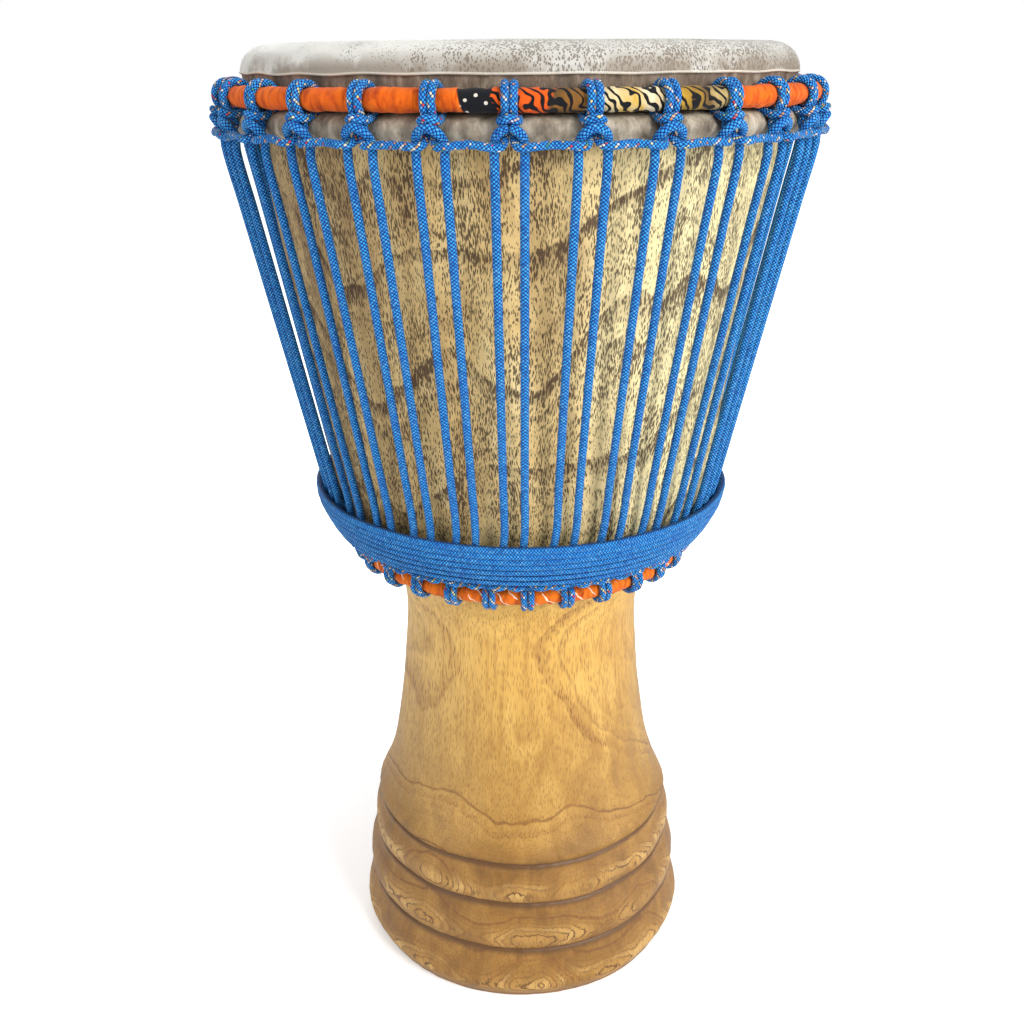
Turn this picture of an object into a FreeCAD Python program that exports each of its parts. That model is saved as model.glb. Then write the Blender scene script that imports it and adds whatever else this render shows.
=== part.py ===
import FreeCAD, Part

import math
import os

# A rope-tuned djembe: a goblet-shaped wooden shell, a goatskin head lapped round a flesh ring, a crown ring
# above it, a bottom ring on the neck, and one long tuning rope that zigzags between the two rope cradles.
# Millimetres. The origin is the centre of the foot's underside, with +Z up the drum's axis. An azimuth of
# 0 degrees faces -Y and grows towards +X.

# Driving dimensions
HEIGHT = 620.0
HEAD_RADIUS = 162.5            # over the skin, at the crease where it turns down
SKIN = 1.2
FIT_GAP = 0.05                 # between the skin and the bearing edge it sits on
EDGE_ROUND = 15.2              # rounding of the playing edge, over the skin
CREASE_Z = HEIGHT - EDGE_ROUND
SHELL_RIM_RADIUS = 160.6
BOWL_BOTTOM_RADIUS = 125.0
BOWL_BOTTOM_Z = 362.0
RIM_WALL = 22.0
BASE_RADIUS = 117.0
BASE_BORE_RADIUS = 95.0
BASE_ROUND = 3.0

# Rings of 8 mm steel rod
ROD = 4.0
CROWN_RADIUS = 170.5
CROWN_Z = 593.6
FLESH_RADIUS = 163.6
FLESH_Z = 580.2
BOTTOM_RADIUS = 106.8
BOTTOM_Z = 309.2
WRAP = 5.5                     # rod with its cloth or skin wrapping
WRAP_CORE = 4.05               # inside of a cloth wrapping
SKIN_WRAP_CORE = 4.15          # inside of the skin's lap round the flesh ring
SKIN_LAP_END = 95.0            # degrees round the flesh ring where the skin's lap is trimmed

# Ropes
HITCHES = 29
PITCH = 360.0 / HITCHES
TUNING_ROPE = 2.3
CRADLE_ROPE = 1.7
BELT_ROPE = 1.9
TOP_PHASE = -1.5               # azimuth of the first top hitch
BOTTOM_SKEW = -2.8             # how far the bottom hitches are turned from half way between the top ones
BELT_TURNS = 7
BELT_POINTS_PER_TURN = 16
BELT_START = 180.0             # azimuth where the belt begins and ends, at the back
SWEEP_TOLERANCE = 0.02

# Printed stretches of the crown cloth, as (first, last) azimuths; the rest is plain orange
PRINT_STRETCHES = ((-10.0, 35.0), (75.0, 120.0), (160.0, 205.0), (248.0, 288.0))

UP = FreeCAD.Vector(0, 0, 1)
ORIGIN = FreeCAD.Vector(0, 0, 0)


def half_plane(r, z):
    """A point of the XZ half plane that the round parts are turned from."""
    return FreeCAD.Vector(r, 0, z)


def around(centre_r, centre_z, radius, degrees, side=0.0):
    """(sideways, radial, height) of a point on a circle round a ring's rod. 0 degrees faces out, 90 up."""
    angle = math.radians(degrees)
    return (side, centre_r + radius * math.cos(angle), centre_z + radius * math.sin(angle))


def place(azimuth, local):
    """The point at (sideways, radial, height) from the drum's axis, seen at an azimuth."""
    side, radial, height = local
    angle = math.radians(azimuth)
    x = radial * math.sin(angle) + side * math.cos(angle)
    y = side * math.sin(angle) - radial * math.cos(angle)
    return FreeCAD.Vector(x, y, height)


def arc(first, middle, last):
    return Part.Arc(first, middle, last).toShape()


def line(first, last):
    return Part.LineSegment(first, last).toShape()


def arcs(points):
    """Arcs through an odd number of points, each over two steps."""
    return [arc(*points[i:i + 3]) for i in range(0, len(points) - 2, 2)]


def smooth(points):
    """A smooth curve through points, timed by the square root of their spacing so that it turns evenly."""
    times = [0.0]
    for before, after in zip(points, points[1:]):
        times.append(times[-1] + math.sqrt(before.distanceToPoint(after)))
    curve = Part.BSplineCurve()
    curve.interpolate(Points=points, Parameters=times)
    return curve.toShape()


def turned(edges, degrees=360.0, first_azimuth=0.0):
    """The solid that a closed outline in the XZ half plane sweeps round the axis from an azimuth."""
    face = Part.Face(Part.Wire(edges))
    face.rotate(ORIGIN, UP, first_azimuth - 90.0)
    return face.revolve(ORIGIN, UP, degrees)


def rod_ring(radius, z):
    return Part.makeTorus(radius, ROD, FreeCAD.Vector(0, 0, z), UP)


def cloth_sleeve(radius, z, first_azimuth, last_azimuth):
    """A stretch of cloth wrapping round a ring's rod."""
    centre = place(first_azimuth, (0.0, radius, z))
    across = place(first_azimuth + 90.0, (0.0, 1.0, 0.0))
    outside, inside = [Part.Face(Part.Wire(Part.Circle(centre, across, r).toShape())) for r in (WRAP, WRAP_CORE)]
    section = outside.cut(inside).Faces[0]
    return section.revolve(ORIGIN, UP, last_azimuth - first_azimuth)


def rope_run(edges, radius):
    """The closed solid of one stretch of rope along joined edges."""
    first = edges[0].FirstParameter
    section = Part.Circle(edges[0].valueAt(first), edges[0].tangentAt(first), radius)
    sweep = Part.BRepOffsetAPI.MakePipeShell(Part.Wire(edges))
    sweep.setTolerance(SWEEP_TOLERANCE, SWEEP_TOLERANCE, 2 * SWEEP_TOLERANCE)
    sweep.add(Part.Wire(section.toShape()))
    sweep.build()
    sweep.makeSolid()
    return sweep.shape()


def at_every_hitch(stretch):
    """Copies of one hitch's stretch of rope all round the drum, each ending where the next begins."""
    copies = []
    for number in range(HITCHES):
        copy = stretch.copy()
        copy.rotate(ORIGIN, UP, number * PITCH)
        copies.append(copy)
    return Part.Compound(copies)


def bends(points, first_heading, last_heading):
    """Smoothly joined curves through points. Each inner point heads from its neighbour to the next."""
    headings = [first_heading] + [after - before for before, after in zip(points, points[2:])] + [last_heading]
    edges = []
    for i in range(len(points) - 1):
        reach = 0.38 * points[i].distanceToPoint(points[i + 1])
        leave = FreeCAD.Vector(headings[i]).normalize() * reach
        arrive = FreeCAD.Vector(headings[i + 1]).normalize() * reach
        curve = Part.BezierCurve()
        curve.setPoles([points[i], points[i] + leave, points[i + 1] - arrive, points[i + 1]])
        edges.append(curve.toShape())
    return edges


def cradle_rope(left_half, azimuth):
    """An endless cradle rope: one hitch, from the middle of a span to the middle of the next, repeated."""
    points = [place(azimuth, local) for local in mirrored(left_half)]
    first, last = [place(azimuth + turn * PITCH / 2 + 90.0, (0.0, 1.0, 0.0)) for turn in (-1, 1)]
    return at_every_hitch(rope_run(bends(points, first, last), CRADLE_ROPE))


def shell_outline():
    """The wooden shell, turned and carved from one log: outside from the top down, then the bore."""
    centre_r = HEAD_RADIUS - EDGE_ROUND
    edge_round = EDGE_ROUND - SKIN - FIT_GAP
    peak = half_plane(centre_r, CREASE_Z + edge_round)
    shoulder = half_plane(centre_r + edge_round, CREASE_Z)
    diagonal = around(centre_r, CREASE_Z, edge_round, 45.0)
    bowl_bottom = half_plane(BOWL_BOTTOM_RADIUS, BOWL_BOTTOM_Z)
    rim = half_plane(SHELL_RIM_RADIUS, CREASE_Z - 2.0)
    edges = [arc(peak, half_plane(diagonal[1], diagonal[2]), shoulder), line(shoulder, rim)]
    edges.append(line(rim, bowl_bottom))
    neck = [bowl_bottom, half_plane(120.8, 345.0), half_plane(112.5, 330.5), half_plane(100.0, 316.6)]
    neck += [half_plane(91.8, 305.5), half_plane(87.5, 295.0), half_plane(84.0, 282.0), half_plane(81.2, 265.0)]
    stem = [half_plane(80.9, 248.0), half_plane(82.4, 228.0), half_plane(86.5, 186.0)]
    stem += [half_plane(93.8, 144.0), half_plane(100.2, 124.0), half_plane(103.5, 115.6), half_plane(107.5, 107.5)]
    edges += arcs(neck + stem)
    edges += foot_tiers(stem[-1])
    base_outer = half_plane(BASE_RADIUS - BASE_ROUND, 0.0)
    base_inner = half_plane(BASE_BORE_RADIUS, 0.0)
    edges.append(line(base_outer, base_inner))
    rim_inner = half_plane(SHELL_RIM_RADIUS - RIM_WALL, CREASE_Z)
    bore = [base_inner, half_plane(87.0, 70.0), half_plane(70.0, 160.0), half_plane(57.0, 245.0)]
    bore += [half_plane(55.0, 292.0), half_plane(70.0, 333.0), half_plane(99.0, 370.0)]
    bore += [half_plane(114.0, 430.0), half_plane(128.0, 520.0)]
    edges += arcs(bore)
    edges.append(line(bore[-1], rim_inner))
    edges.append(arc(rim_inner, half_plane(142.0, CREASE_Z + 9.5), peak))
    return edges


def foot_tiers(lip):
    """Four carved bands below the stem. Each overhanging lip is undercut by a cove above the next band."""
    # (bulge radius, bulge height, radius and height of the band's lower lip)
    bands = ((110.8, 90.0, 111.0, 77.6), (116.3, 58.0, 115.7, 42.2), (120.3, 18.0, BASE_RADIUS, BASE_ROUND))
    cove_depth = 2.6
    cove_height = 4.2
    edges = []
    for bulge_r, bulge_z, lip_r, lip_z in bands:
        cove = half_plane(lip.x - cove_depth, lip.z - 0.45 * cove_height)
        band_top = half_plane(lip.x - 0.55 * cove_depth, lip.z - cove_height)
        edges.append(arc(lip, cove, band_top))
        lip = half_plane(lip_r, lip_z)
        edges.append(arc(band_top, half_plane(bulge_r, bulge_z), lip))
    base = half_plane(BASE_RADIUS - BASE_ROUND, 0.0)
    corner = around(BASE_RADIUS - BASE_ROUND, BASE_ROUND, BASE_ROUND, -45.0)
    edges.append(arc(lip, half_plane(corner[1], corner[2]), base))
    return edges


def drumhead_outline():
    """The playing skin: a flat membrane that turns down over the bearing edge to the crease."""
    centre_r = HEAD_RADIUS - EDGE_ROUND
    top = half_plane(0.0, HEIGHT)
    under = half_plane(0.0, HEIGHT - SKIN)
    edges = []
    for radius, middle in ((EDGE_ROUND, top), (EDGE_ROUND - SKIN, under)):
        peak = half_plane(centre_r, CREASE_Z + radius)
        diagonal = around(centre_r, CREASE_Z, radius, 45.0)
        crease = half_plane(centre_r + radius, CREASE_Z)
        edges.append([line(middle, peak), arc(peak, half_plane(diagonal[1], diagonal[2]), crease)])
    outside, inside = edges
    closing = line(half_plane(HEAD_RADIUS, CREASE_Z), half_plane(HEAD_RADIUS - SKIN, CREASE_Z))
    return outside + [closing] + inside[::-1] + [line(under, top)]


def collar_outline():
    """The skin below the crease: it runs down inside the rings, then laps under and over the flesh ring."""
    outer = [half_plane(HEAD_RADIUS, CREASE_Z), half_plane(160.8, CROWN_Z)]
    inner = [half_plane(HEAD_RADIUS - SKIN, CREASE_Z), half_plane(160.8 - SKIN, CROWN_Z)]
    edges = [line(outer[0], outer[1])]
    points = {}
    for name, radius in (("ring side", SKIN_WRAP_CORE), ("far side", WRAP)):
        path = [around(FLESH_RADIUS, FLESH_Z, radius, a) for a in (180.0, 275.0, 360.0 + SKIN_LAP_END)]
        points[name] = [half_plane(p[1], p[2]) for p in path]
    edges.append(line(outer[1], points["ring side"][0]))
    edges.append(arc(*points["ring side"]))
    edges.append(line(points["ring side"][2], points["far side"][2]))
    edges.append(arc(*points["far side"]))
    edges.append(line(points["far side"][0], inner[1]))
    edges.append(line(inner[1], inner[0]))
    edges.append(line(inner[0], outer[0]))
    return edges


def mirrored(left_half):
    """A hitch's whole path from its left half, whose last point is on the hitch's middle plane."""
    return left_half + [(-side, radial, height) for side, radial, height in left_half[-2::-1]]


def mid_span(radius, z):
    """The cradle rope's point half way between two hitches, on the left of a hitch."""
    half = math.radians(PITCH / 2)
    return (-radius * math.sin(half), radius * math.cos(half), z)


def top_hitch():
    """Left half of a cow hitch on the crown ring.

    The span passes in front of a leg of the tuning rope and under its arch, climbs in front of the flesh
    ring and the crown ring, goes over and down inside it, and comes out below as the bar across the legs.
    """
    hug = WRAP + CRADLE_ROPE + 0.3
    legs = [mid_span(178.4, 575.0), (-7.2, 179.9, 574.0), (-3.8, 178.1, 573.9)]
    legs += [(-2.2, 174.6, 576.2), (-1.95, 172.9, 580.0), (-1.95, 174.2, 584.6)]
    # (sideways, degrees round the crown ring, how closely it hugs)
    wraps = ((-1.95, -15.0, 1.0), (-2.1, 35.0, 1.0), (-2.4, 85.0, 1.0), (-2.9, 135.0, 1.0))
    wraps += ((-3.6, 180.0, 1.0), (-4.5, 225.0, 1.0), (-5.5, 268.0, 1.035))
    turns = [around(CROWN_RADIUS, CROWN_Z, hug * ease, degrees, side) for side, degrees, ease in wraps]
    bar = [(-6.1, 175.6, 584.9), (-4.3, 178.9, 585.7), (0.0, 179.7, 586.3)]
    return legs + turns + bar


def on_neck(side, along, out):
    """A point of the bottom knots: along the bowl from the bottom ring's rod, and out from the bowl."""
    return (side, BOTTOM_RADIUS + 0.6 * along + 0.8 * out, BOTTOM_Z + 0.8 * along - 0.6 * out)


def bottom_hitch():
    """Left half of a hitch on the bottom ring.

    The span passes outside a leg of the tuning rope and in through its bend, runs down between the ring and
    the shell, and comes up over the ring's face as one side of a bight.
    """
    hug = WRAP + CRADLE_ROPE + 0.32
    legs = [mid_span(120.3, 319.6), on_neck(-7.2, 17.0, 4.6), on_neck(-3.8, 18.0, 3.1)]
    legs += [on_neck(-2.2, 17.3, -0.9), on_neck(-1.95, 12.6, -4.5)]
    wraps = ((-1.95, 147.0, 1.02), (-2.0, 190.0, 1.0), (-2.1, 235.0, 1.0), (-2.2, 280.0, 1.0))
    wraps += ((-2.25, 325.0, 1.0), (-2.6, 365.0, 1.0), (-2.7, 394.0, 1.0), (-1.95, 410.5, 1.0))
    wraps += ((0.0, 417.5, 1.0),)
    return legs + [around(BOTTOM_RADIUS, BOTTOM_Z, hug * ease, degrees, side) for side, degrees, ease in wraps]


def arch_point(degrees):
    """A point of the tuning rope's arch over a top hitch. 0 degrees is its left foot, 90 its crown."""
    angle = math.radians(degrees)
    return (-7.0 * math.cos(angle), 175.1 + 4.2 * math.sin(angle), 574.6 + 7.0 * math.sin(angle))


def bend_point(degrees):
    """A point of the tuning rope's bend round a bottom hitch. 0 degrees is its left foot, 90 its lowest."""
    angle = math.radians(degrees)
    return on_neck(-6.9 * math.cos(angle), 17.4 - 5.5 * math.sin(angle), 0.0)


def under_belt(from_azimuth, foot_azimuth):
    """One vertical's points under the belt, from the end of its straight part to the foot of its bend."""
    # (share of the turn to the foot's azimuth, radius, height)
    path = ((0.0, 132.0, 360.0), (0.4, 127.9, 341.8), (0.93, 119.4, 327.3))
    turn = foot_azimuth - from_azimuth
    return [place(from_azimuth + share * turn, (0.0, radius, z)) for share, radius, z in path]


def tuning_rope():
    """The rope from the crown of one arch, down, round a bottom bend and up to the next arch, 29 times over."""
    following = TOP_PHASE + PITCH
    bend = TOP_PHASE + PITCH / 2 + BOTTOM_SKEW
    foot_turn = math.degrees(math.asin(6.9 / 117.2))
    arch = [place(TOP_PHASE, arch_point(a)) for a in (90.0, 135.0, 180.0)]
    next_arch = [place(following, arch_point(a)) for a in (0.0, 45.0, 90.0)]
    high = place(TOP_PHASE + 2.35, (0.0, 174.9, 566.0))
    next_high = place(following - 2.35, (0.0, 174.9, 566.0))
    down = under_belt(TOP_PHASE + 2.5, bend - foot_turn)
    up = under_belt(following - 2.5, bend + foot_turn)[::-1]
    turn = [place(bend, bend_point(a)) for a in (0.0, 45.0, 90.0, 135.0, 180.0)]
    sideways = [place(azimuth + 90.0, (0.0, 1.0, 0.0)) for azimuth in (TOP_PHASE, following)]
    edges = bends(arch + [high], sideways[0], down[0] - high)
    edges.append(line(high, down[0]))
    edges += bends(down + turn + up, down[0] - high, next_high - up[-1])
    edges.append(line(up[-1], next_high))
    edges += bends([next_high] + next_arch, next_high - up[-1], sideways[1])
    return at_every_hitch(rope_run(edges, TUNING_ROPE))


def belt():
    """The spare end of the tuning rope, wound side by side round the verticals at the foot of the bowl."""
    section = Part.Arc(half_plane(135.65, 353.5), half_plane(132.65, 340.1), half_plane(123.63, 324.6))
    steps = BELT_TURNS * BELT_POINTS_PER_TURN
    points = []
    for step in range(steps + 1):
        share = section.FirstParameter + (section.LastParameter - section.FirstParameter) * step / steps
        at = section.value(share)
        azimuth = BELT_START + 360.0 * step / BELT_POINTS_PER_TURN
        points.append(place(azimuth, (0.0, at.x, at.z)))
    path = smooth(points)
    circle = Part.Circle(points[0], path.tangentAt(path.FirstParameter), BELT_ROPE)
    return Part.Wire([path]).makePipeShell([Part.Wire(circle.toShape())], True, False)


def crown_cloth():
    """The plain and the printed stretches of the crown ring's cloth."""
    printed = [cloth_sleeve(CROWN_RADIUS, CROWN_Z, first, last) for first, last in PRINT_STRETCHES]
    starts = [last for first, last in PRINT_STRETCHES]
    ends = [first for first, last in PRINT_STRETCHES[1:]] + [PRINT_STRETCHES[0][0] + 360.0]
    plain = [cloth_sleeve(CROWN_RADIUS, CROWN_Z, first, last) for first, last in zip(starts, ends)]
    return Part.Compound(plain), Part.Compound(printed)


def build():
    plain_cloth, printed_cloth = crown_cloth()
    bottom_azimuth = TOP_PHASE + PITCH / 2 + BOTTOM_SKEW
    return {
        "shell": turned(shell_outline()),
        "drumhead_skin": turned(drumhead_outline()),
        "skin_collar": turned(collar_outline()),
        "flesh_ring": rod_ring(FLESH_RADIUS, FLESH_Z),
        "crown_ring": rod_ring(CROWN_RADIUS, CROWN_Z),
        "crown_cloth_plain": plain_cloth,
        "crown_cloth_printed": printed_cloth,
        "top_cradle_rope": cradle_rope(top_hitch(), TOP_PHASE),
        "tuning_rope": tuning_rope(),
        "belt_rope": belt(),
        "bottom_ring": rod_ring(BOTTOM_RADIUS, BOTTOM_Z),
        "bottom_ring_cloth": cloth_sleeve(BOTTOM_RADIUS, BOTTOM_Z, 0.0, 360.0),
        "bottom_cradle_rope": cradle_rope(bottom_hitch(), bottom_azimuth),
    }


os.makedirs("parts", exist_ok=True)
for node, shape in build().items():
    shape.exportStep("parts/" + node + ".step")
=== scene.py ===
import math

import bpy
import numpy as np
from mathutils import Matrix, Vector

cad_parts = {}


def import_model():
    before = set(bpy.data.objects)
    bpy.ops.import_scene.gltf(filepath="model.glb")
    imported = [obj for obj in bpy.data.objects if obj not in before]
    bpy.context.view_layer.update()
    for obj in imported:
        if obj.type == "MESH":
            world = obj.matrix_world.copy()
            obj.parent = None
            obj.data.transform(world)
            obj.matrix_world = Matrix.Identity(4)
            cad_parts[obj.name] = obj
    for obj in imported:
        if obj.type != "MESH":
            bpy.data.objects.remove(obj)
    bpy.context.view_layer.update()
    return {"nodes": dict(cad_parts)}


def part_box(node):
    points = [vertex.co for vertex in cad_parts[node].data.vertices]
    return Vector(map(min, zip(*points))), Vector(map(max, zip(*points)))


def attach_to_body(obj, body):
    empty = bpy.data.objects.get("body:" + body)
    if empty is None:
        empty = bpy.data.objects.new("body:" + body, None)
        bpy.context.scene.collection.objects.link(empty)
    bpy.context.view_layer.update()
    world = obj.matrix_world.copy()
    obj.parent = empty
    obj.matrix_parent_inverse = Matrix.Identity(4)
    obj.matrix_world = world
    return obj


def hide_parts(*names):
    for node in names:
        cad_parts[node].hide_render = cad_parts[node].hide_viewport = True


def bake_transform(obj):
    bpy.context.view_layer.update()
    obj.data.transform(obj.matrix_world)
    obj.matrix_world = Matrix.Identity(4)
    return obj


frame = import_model()

# A rope-tuned djembe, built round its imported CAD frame. Lengths are worked in millimetres, and meshes are
# made in metres. Azimuth 0 degrees faces -Y and grows towards +X, as in the CAD part.

MM = 0.001
PI = math.pi


def ring_size(node):
    """(radius to the middle of the rod, height, rod radius) of a steel ring of the frame."""
    low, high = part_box(node)
    rod = (high.z - low.z) / MM / 2
    return high.x / MM - rod, (low.z + high.z) / MM / 2, rod


# Driving dimensions, from the frame
SKIN_LOW, SKIN_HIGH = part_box("drumhead_skin")
HEIGHT = SKIN_HIGH.z / MM
HEAD_RADIUS = SKIN_HIGH.x / MM
CREASE_Z = SKIN_LOW.z / MM
EDGE_ROUND = HEIGHT - CREASE_Z
CROWN_RADIUS, CROWN_Z, ROD = ring_size("crown_ring")
FLESH_RADIUS, FLESH_Z, _ = ring_size("flesh_ring")
BOTTOM_RADIUS, BOTTOM_Z, _ = ring_size("bottom_ring")

# Driving dimensions of the lacing and the cloth. Ropes are given by their radius.
WRAP = 5.5
TUNING_ROPE = 2.3
CRADLE_ROPE = 2.0
BELT_ROPE = 2.2
BELT_TURNS = 7
BELT_START = 180.0
PRINT_STRETCHES = ((-10.0, 35.0), (75.0, 120.0), (160.0, 205.0), (248.0, 288.0))

# Each hitch sits a little off its even spacing, as tied by hand
HITCHES = 29
PITCH = 360.0 / HITCHES
TOP_PHASE = -1.5
BOTTOM_SKEW = -2.8
SEED = 29
rng = np.random.default_rng(SEED)
TOP_AZIMUTHS = TOP_PHASE + PITCH * np.arange(HITCHES) + rng.uniform(-0.45, 0.45, HITCHES)
BOTTOM_PHASE = TOP_PHASE + BOTTOM_SKEW + PITCH / 2
BOTTOM_AZIMUTHS = BOTTOM_PHASE + PITCH * np.arange(HITCHES) + rng.uniform(-0.4, 0.4, HITCHES)

# Spans for the stretching pieces: a height on the shell, then one on the head. attach_between is given them
# but does not use them
ROPE_STRETCH = (360.0, 572.0)
COLLAR_STRETCH = (CREASE_Z - 0.8, CROWN_Z - 3.0)


# ---------- placing

def place(azimuth, local):
    """Points at (sideways, radial, height) from the drum's axis, seen at an azimuth."""
    side, radial, height = np.moveaxis(np.asarray(local, float), -1, 0)
    angle = np.radians(azimuth)
    x = radial * np.sin(angle) + side * np.cos(angle)
    y = side * np.sin(angle) - radial * np.cos(angle)
    return np.stack([x, y, height + 0 * x], -1)


def on_drum(azimuth, radial, height):
    """Points at a radius and a height, straight out from the drum's axis at an azimuth."""
    return place(azimuth, np.stack([0 * radial, radial, height], -1))


def around(centre, radius, degrees, side=0.0):
    """(sideways, radial, height) of a point on a circle round a ring's rod. 0 degrees faces out, 90 up."""
    angle = math.radians(degrees)
    return (side, centre[0] + radius * math.cos(angle), centre[1] + radius * math.sin(angle))


def lengths_along(points):
    """The distance of each point along a line of points, from its first."""
    return np.concatenate([[0], np.cumsum(np.linalg.norm(np.diff(points, axis=0), axis=1))])


def points_at(points, marks, wanted):
    """Points between the given ones, where a mark that grows along them has each wanted value."""
    return np.stack([np.interp(wanted, marks, values) for values in points.T], -1)


def smooth_curve(points, closed, per_span=24):
    """Many points along a centripetal Catmull-Rom curve through the given points."""
    points = np.asarray(points, float)
    if closed:
        points = np.vstack([points[-1:], points, points[:2]])
    else:
        points = np.vstack([2 * points[:1] - points[1:2], points, 2 * points[-1:] - points[-2:-1]])
    fours = [points[:-3], points[1:-2], points[2:-1], points[3:]]
    knots = [np.zeros(len(points) - 3)]
    for a, b in zip(fours, fours[1:]):
        knots.append(knots[-1] + np.maximum(np.linalg.norm(b - a, axis=1), 1e-6) ** 0.5)
    t0, t1, t2, t3 = [knot[:, None, None] for knot in knots]
    p0, p1, p2, p3 = [point[:, None, :] for point in fours]
    t = t1 + (t2 - t1) * np.linspace(0, 1, per_span, endpoint=False)[None, :, None]

    def between(start, end, a, b):
        return (end - t) / (end - start) * a + (t - start) / (end - start) * b

    a1, a2, a3 = between(t0, t1, p0, p1), between(t1, t2, p1, p2), between(t2, t3, p2, p3)
    b1, b2 = between(t0, t2, a1, a2), between(t1, t3, a2, a3)
    dense = between(t1, t2, b1, b2).reshape(-1, points.shape[1])
    return np.vstack([dense, dense[:1] if closed else points[-2:-1]])


def flowing(points, closed, fine=0.55, coarse=2.6, bend_share=0.2):
    """Points along a smooth curve through the given points, closer together where it bends tightly."""
    dense = smooth_curve(points, closed)
    steps = np.diff(dense, axis=0)
    size = np.linalg.norm(steps, axis=1)
    heading = steps / np.maximum(size, 1e-9)[:, None]
    turn = np.linalg.norm(np.diff(heading, axis=0), axis=1) / np.maximum((size[1:] + size[:-1]) / 2, 1e-6)
    bend = np.convolve(np.concatenate([turn[:1], turn]), np.ones(9) / 9, "same")
    spacing = np.clip(bend_share / np.maximum(bend, 1e-6), fine, coarse)
    load = np.concatenate([[0.0], np.cumsum(size / spacing)])
    count = int(round(load[-1]))
    return points_at(dense, load, np.linspace(0, load[-1], count + 1)[:count if closed else count + 1])


def hitch_gap(azimuth, hitches):
    """Degrees from each azimuth to its nearest hitch."""
    gaps = (azimuth[:, None] - hitches[None, :] + 180.0) % 360.0 - 180.0
    return np.abs(gaps).min(1)


def ring_noise(azimuth, other, waves, reach, seed):
    """Smooth noise, about -1 to 1, that joins up round the drum."""
    draw = np.random.default_rng(seed)
    total = np.zeros(np.broadcast(azimuth, other).shape)
    count = 26
    for _ in range(count):
        turns = draw.integers(1, waves + 1)
        drift = other / reach * draw.normal(0, 2.2)
        total += np.sin(np.radians(azimuth) * turns + drift + draw.uniform(0, 2 * PI))
    return total / math.sqrt(count) * 1.1


# ---------- meshes

def attach(piece, body, slot, *nodes):
    """Puts a piece on a body, in place of the frame's nodes."""
    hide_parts(*nodes)
    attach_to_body(piece, body)


def attach_between(piece, span, slot, *nodes):
    """Hides the frame's nodes and bakes the piece's place into its mesh; unlike attach, it puts the piece on
    no body. The span is not used.
    """
    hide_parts(*nodes)
    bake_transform(piece)


def put(name, data, place_m=(0.0, 0.0, 0.0), rotation=(0.0, 0.0, 0.0)):
    """An object in the scene."""
    made = bpy.data.objects.new(name, data)
    made.location = place_m
    made.rotation_euler = rotation
    bpy.context.scene.collection.objects.link(made)
    return made


def tube_faces(rows, columns, ends):
    """(quads, caps) over rings of points. The ends are capped, joined to each other, or bare."""
    r = np.arange(rows if ends == "joined" else rows - 1)
    r0, c0 = [a.ravel() for a in np.meshgrid(r, np.arange(columns), indexing="ij")]
    r1, c1 = (r0 + 1) % rows, (c0 + 1) % columns
    quads = np.stack([r0 * columns + c0, r0 * columns + c1, r1 * columns + c1, r1 * columns + c0], 1)
    ring = np.arange(columns)
    return quads, [ring[::-1], (rows - 1) * columns + ring] if ends == "capped" else []


def tube_object(name, rings, floats, material, ends="capped", flip=False):
    """An object from rings of points in millimetres, with named per-point numbers for its material."""
    rows, columns = rings.shape[:2]
    quads, caps = tube_faces(rows, columns, ends)
    if flip:
        quads, caps = quads[:, ::-1], [cap[::-1] for cap in caps]
    corners = np.concatenate([quads.ravel(), *caps])
    sizes = np.array([4] * len(quads) + [columns] * len(caps))
    starts = np.cumsum(sizes) - sizes
    mesh = bpy.data.meshes.new(name)
    mesh.vertices.add(rows * columns)
    mesh.vertices.foreach_set("co", (rings * MM).astype(np.float32).ravel())
    mesh.loops.add(len(corners))
    mesh.loops.foreach_set("vertex_index", corners.astype(np.int32))
    mesh.polygons.add(len(sizes))
    mesh.polygons.foreach_set("loop_start", starts.astype(np.int32))
    mesh.update(calc_edges=True)
    for key, values in floats.items():
        per_point = np.broadcast_to(values, (rows, columns)).astype(np.float32)
        mesh.attributes.new(key, "FLOAT", "POINT").data.foreach_set("value", per_point.ravel())
    mesh.shade_smooth()
    mesh.validate()
    mesh.materials.append(material)
    return put(name, mesh)


def carried_frames(path, closed):
    """(tangents, normals) along a path. The normals turn as little as possible, and meet if it is closed."""
    ahead = np.roll(path, -1, 0) - np.roll(path, 1, 0)
    if not closed:
        ahead[0], ahead[-1] = path[1] - path[0], path[-1] - path[-2]
    tangents = ahead / np.linalg.norm(ahead, axis=1)[:, None]
    start = np.cross(tangents[0], (0.3, 0.2, 1.0))
    normals = [start / np.linalg.norm(start)]
    for tangent in tangents[1:]:
        carried = normals[-1] - tangent * float(normals[-1] @ tangent)
        normals.append(carried / math.sqrt(float(carried @ carried)))
    normals = np.array(normals)
    if closed:
        last = normals[-1] - tangents[0] * float(normals[-1] @ tangents[0])
        miss = math.atan2(float(np.cross(normals[0], last) @ tangents[0]), float(normals[0] @ last))
        twist = -miss * np.arange(len(path)) / len(path)
        normals = normals * np.cos(twist)[:, None] + np.cross(tangents, normals) * np.sin(twist)[:, None]
    return tangents, normals


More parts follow.
